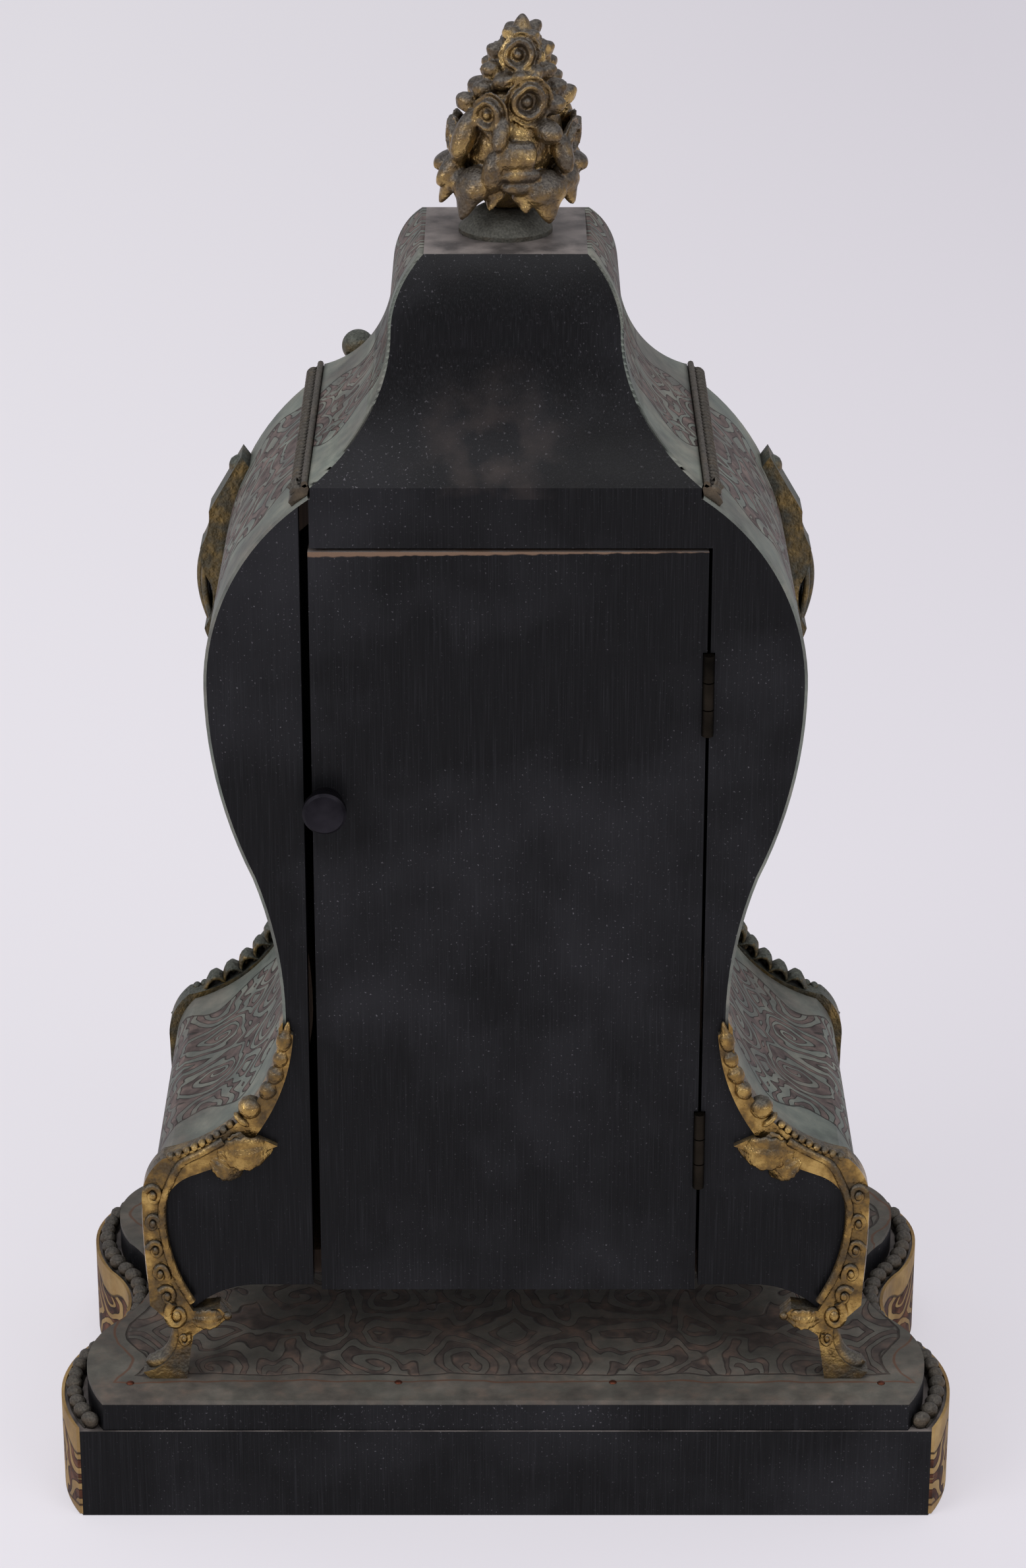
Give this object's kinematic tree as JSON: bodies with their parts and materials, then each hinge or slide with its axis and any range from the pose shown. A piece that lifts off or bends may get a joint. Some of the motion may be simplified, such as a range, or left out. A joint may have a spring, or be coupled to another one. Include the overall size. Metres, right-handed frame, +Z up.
{
  "type": "table clock",
  "caption": "Waisted table clock on its own serpentine plinth, with a hinged back door, cast mounts, a glazed bezel over the dial and a spring-driven pendulum movement.",
  "frame": {"origin": "middle of the plinth's underside, on the table", "axes": "+Z up, the dial faces -Y, the back door faces +Y, +X to the left as seen in the picture of the back"},
  "size_m": [0.285, 0.16, 0.465],
  "materials": {
    "ebonised_wood": "ebonised and worn, satin",
    "oak_carcass": "plain sawn, unfinished",
    "metal_marquetry": "engraved brass with shell inlay, dull",
    "brass_band": "sheet brass with shell inlay, rubbed",
    "gilt_bronze": "cast, gilt and darkened with age",
    "dark_bronze": "cast beads, dark patina",
    "hinge_brass": "rolled brass, tarnished",
    "knob_iron": "turned, blackened",
    "movement_brass": "lacquered brass",
    "arbor_steel": "polished steel",
    "spring_steel": "blued spring steel",
    "dial_enamel": "white fired enamel",
    "hand_steel": "blued steel",
    "bezel_glass": "clear, polished"
  },
  "bodies": {
    "case": {"back_plate": "movement_brass", "back_stile_left": "ebonised_wood", "back_stile_right": "ebonised_wood", "back_top_rail": "ebonised_wood", "bead_moulding_left": "dark_bronze", "bead_moulding_right": "dark_bronze", "bezel_hinge": "hinge_brass", "cap_body": "ebonised_wood", "cap_veneer_left": "metal_marquetry", "cap_veneer_right": "metal_marquetry", "case_floor": "oak_carcass", "case_hinge_leaves": "hinge_brass", "case_side_left": "oak_carcass", "case_side_right": "oak_carcass", "click": "arbor_steel", "corner_ball": "gilt_bronze", "dial_pillars": "movement_brass", "dial_plate": "dial_enamel", "finial_bouquet": "gilt_bronze", "finial_foot": "gilt_bronze", "front_board": "ebonised_wood", "front_leg_mount_left": "gilt_bronze", "front_leg_mount_right": "gilt_bronze", "front_plate": "movement_brass", "plate_pillars": "movement_brass", "plinth_block": "ebonised_wood", "plinth_side_band": "brass_band", "plinth_slab": "ebonised_wood", "plinth_top_plate": "metal_marquetry", "rear_leg_mount_left": "gilt_bronze", "rear_leg_mount_right": "gilt_bronze", "ridge_moulding_left": "gilt_bronze", "ridge_moulding_right": "gilt_bronze", "shoulder_mount_left": "gilt_bronze", "shoulder_mount_right": "gilt_bronze", "side_veneer_left": "metal_marquetry", "side_veneer_right": "metal_marquetry", "suspension_cock": "movement_brass"},
    "back_door": {"back_door": "ebonised_wood", "door_hinge_leaves": "hinge_brass"},
    "door_latch": {"door_knob": "knob_iron", "latch_tongue": "hinge_brass"},
    "bezel": {"bezel": "gilt_bronze", "bezel_glass": "bezel_glass"},
    "minute_hand": {"cannon_pinion": "movement_brass", "minute_hand": "hand_steel"},
    "minute_wheel": {"minute_wheel": "movement_brass"},
    "hour_hand": {"hour_wheel": "movement_brass", "hour_hand": "hand_steel"},
    "winding_arbor": {"winding_arbor": "arbor_steel"},
    "barrel": {"barrel": "movement_brass", "mainspring": "spring_steel"},
    "second_wheel": {"second_wheel": "movement_brass"},
    "centre_wheel": {"centre_wheel": "movement_brass"},
    "third_wheel": {"third_wheel": "movement_brass"},
    "escape_wheel": {"escape_wheel": "movement_brass"},
    "anchor": {"anchor": "arbor_steel"},
    "pendulum": {"pendulum_rod": "arbor_steel"},
    "bob": {"pendulum_bob": "movement_brass", "rating_nut": "movement_brass"}
  },
  "joints": [
    {"name": "back_door_hinge", "type": "hinge", "parent": "case", "child": "back_door", "pos_m": [-0.06, 0.0649, 0.199], "axis": [0, 0, 1], "range_deg": [0, 110]},
    {"name": "door_latch_turn", "type": "hinge", "parent": "back_door", "child": "door_latch", "pos_m": [0.054, 0.064, 0.24], "axis": [0, 1, 0], "range_deg": [0, 90]},
    {"name": "bezel_hinge", "type": "hinge", "parent": "case", "child": "bezel", "pos_m": [-0.0686, -0.0596, 0.268], "axis": [0, 0, 1], "range_deg": [-110, 0]},
    {"name": "minute_hand_turn", "type": "hinge", "parent": "case", "child": "minute_hand", "pos_m": [0, 0, 0.268], "axis": [0, 1, 0], "continuous": true},
    {"name": "minute_wheel_turn", "type": "hinge", "parent": "case", "child": "minute_wheel", "pos_m": [0.00848, 0, 0.27648], "axis": [0, 1, 0], "continuous": true},
    {"name": "hour_hand_turn", "type": "hinge", "parent": "case", "child": "hour_hand", "pos_m": [0, 0, 0.268], "axis": [0, 1, 0], "continuous": true},
    {"name": "winding_turn", "type": "hinge", "parent": "case", "child": "winding_arbor", "pos_m": [0, 0, 0.2403], "axis": [0, 1, 0], "continuous": true},
    {"name": "third_wheel_turn", "type": "hinge", "parent": "case", "child": "third_wheel", "pos_m": [-0.01429, 0, 0.28473], "axis": [0, 1, 0], "continuous": true},
    {"name": "escape_wheel_turn", "type": "hinge", "parent": "case", "child": "escape_wheel", "pos_m": [0, 0, 0.298], "axis": [0, 1, 0], "continuous": true},
    {"name": "centre_wheel_turn", "type": "hinge", "parent": "case", "child": "centre_wheel", "pos_m": [0, 0, 0.268], "axis": [0, 1, 0], "continuous": true},
    {"name": "second_wheel_turn", "type": "hinge", "parent": "case", "child": "second_wheel", "pos_m": [0.02115, 0, 0.25708], "axis": [0, 1, 0], "continuous": true},
    {"name": "barrel_turn", "type": "hinge", "parent": "case", "child": "barrel", "pos_m": [0, 0, 0.2403], "axis": [0, 1, 0], "continuous": true},
    {"name": "pendulum_swing", "type": "hinge", "parent": "case", "child": "pendulum", "pos_m": [0, 0, 0.31328], "axis": [0, 1, 0], "range_deg": [-3, 3]},
    {"name": "anchor_swing", "type": "hinge", "parent": "case", "child": "anchor", "pos_m": [0, 0, 0.31328], "axis": [0, 1, 0], "range_deg": [-3, 3]},
    {"name": "bob_rating", "type": "slide", "parent": "pendulum", "child": "bob", "axis": [0, 0, 1], "range_m": [-0.0025, 0.0025]}
  ],
  "couplings": [
    {"joint": "minute_wheel_turn", "follows": "minute_hand_turn", "ratio": -0.33333},
    {"joint": "hour_hand_turn", "follows": "minute_hand_turn", "ratio": 0.083333},
    {"joint": "centre_wheel_turn", "follows": "third_wheel_turn", "ratio": -0.1},
    {"joint": "escape_wheel_turn", "follows": "third_wheel_turn", "ratio": -12},
    {"joint": "second_wheel_turn", "follows": "third_wheel_turn", "ratio": 0.013333},
    {"joint": "barrel_turn", "follows": "third_wheel_turn", "ratio": -0.0016667},
    {"joint": "anchor_swing", "follows": "pendulum_swing", "ratio": 1}
  ]
}
